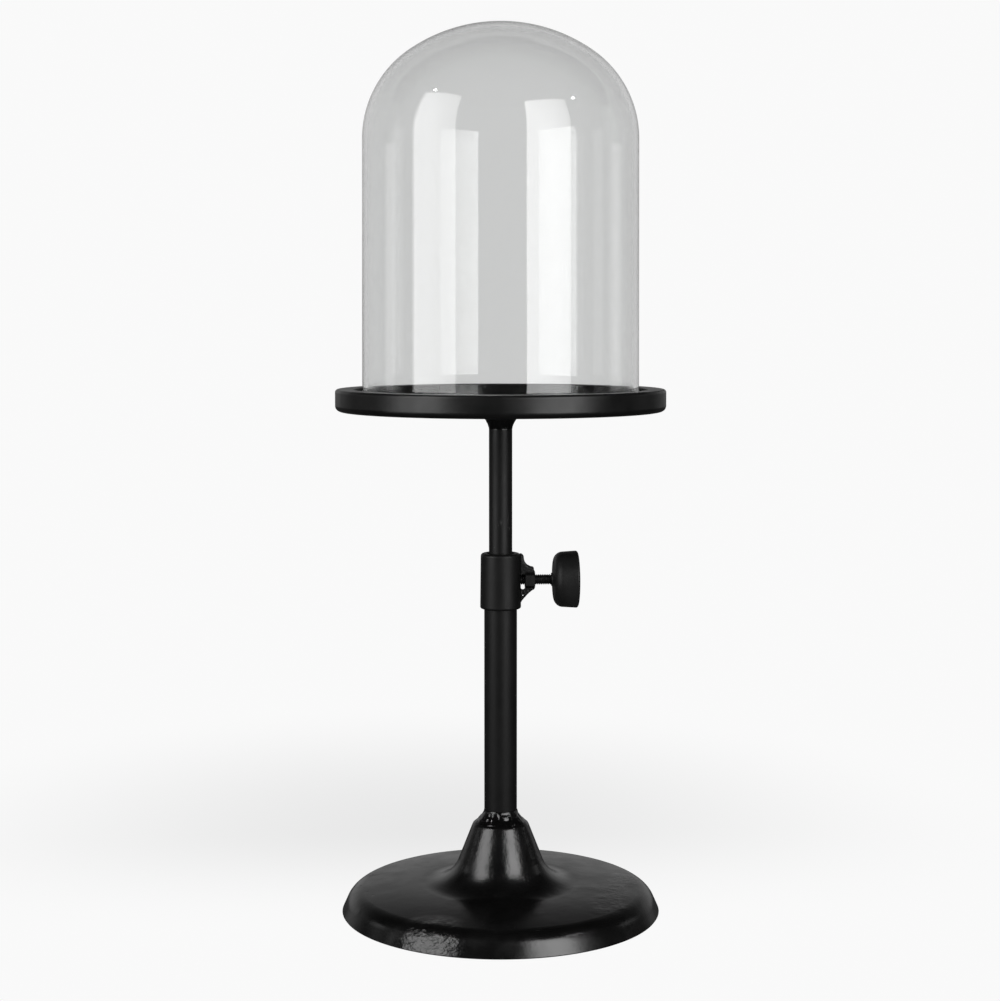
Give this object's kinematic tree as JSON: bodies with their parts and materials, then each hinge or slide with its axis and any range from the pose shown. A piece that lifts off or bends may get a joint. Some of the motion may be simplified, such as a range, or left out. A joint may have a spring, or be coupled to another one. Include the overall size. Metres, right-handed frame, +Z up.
{
  "type": "bell jar dome",
  "caption": "Glass bell jar dome standing in a round black tray on a height-adjustable stem with a clamp knob and a heavy round base.",
  "frame": {"origin": "centre of the base's underside, on the stem axis at floor level", "axes": "+Z up along the stem; +X along the clamp screw, from the stem to the knob"},
  "size_m": [0.254, 0.254, 0.6854],
  "materials": {
    "base_enamel": "gloss",
    "stem_paint": "satin",
    "tray_paint": "satin",
    "screw_steel": "satin",
    "inner_steel": "satin",
    "pad_brass": "satin",
    "knob_plastic": "satin",
    "bush_nylon": "matte",
    "felt": "matte",
    "dome_glass": "polished"
  },
  "bodies": {
    "stand": {"base_casting": "base_enamel", "felt_pad": "felt", "base_weld_bead": "base_enamel", "stem_tube": "stem_paint", "collar_sleeve": "stem_paint", "clamp_nut": "stem_paint", "upper_weld_web": "stem_paint", "lower_weld_web": "stem_paint"},
    "bush": {"guide_bush": "bush_nylon"},
    "upper": {"rod": "stem_paint", "bush_washer": "inner_steel", "bush_screw": "inner_steel", "tray": "tray_paint", "tray_weld_bead": "tray_paint"},
    "dome": {"glass_dome": "dome_glass"},
    "pad": {"pressure_pad": "pad_brass"},
    "thumb_screw": {"screw_stud": "screw_steel", "knob_insert": "inner_steel", "knob": "knob_plastic"}
  },
  "joints": [
    {"name": "height_slide", "type": "slide", "parent": "stand", "child": "bush", "axis": [0, 0, 1], "range_m": [-0.093, 0.09]},
    {"name": "top_swivel", "type": "hinge", "parent": "bush", "child": "upper", "pos_m": [0, 0, 0.135], "axis": [0, 0, 1], "continuous": true},
    {"name": "dome_lift", "type": "slide", "parent": "upper", "child": "dome", "axis": [0, 0, 1], "range_m": [0, 0.3]},
    {"name": "pad_slide", "type": "slide", "parent": "stand", "child": "pad", "axis": [1, 0, 0], "range_m": [0, 0.0043]},
    {"name": "screw_turn", "type": "hinge", "parent": "pad", "child": "thumb_screw", "pos_m": [0.03, 0, 0.2592], "axis": [1, 0, 0], "range_deg": [0, 1080]}
  ],
  "couplings": [
    {"joint": "pad_slide", "follows": "screw_turn", "m_per_rad": 0.00022457}
  ]
}
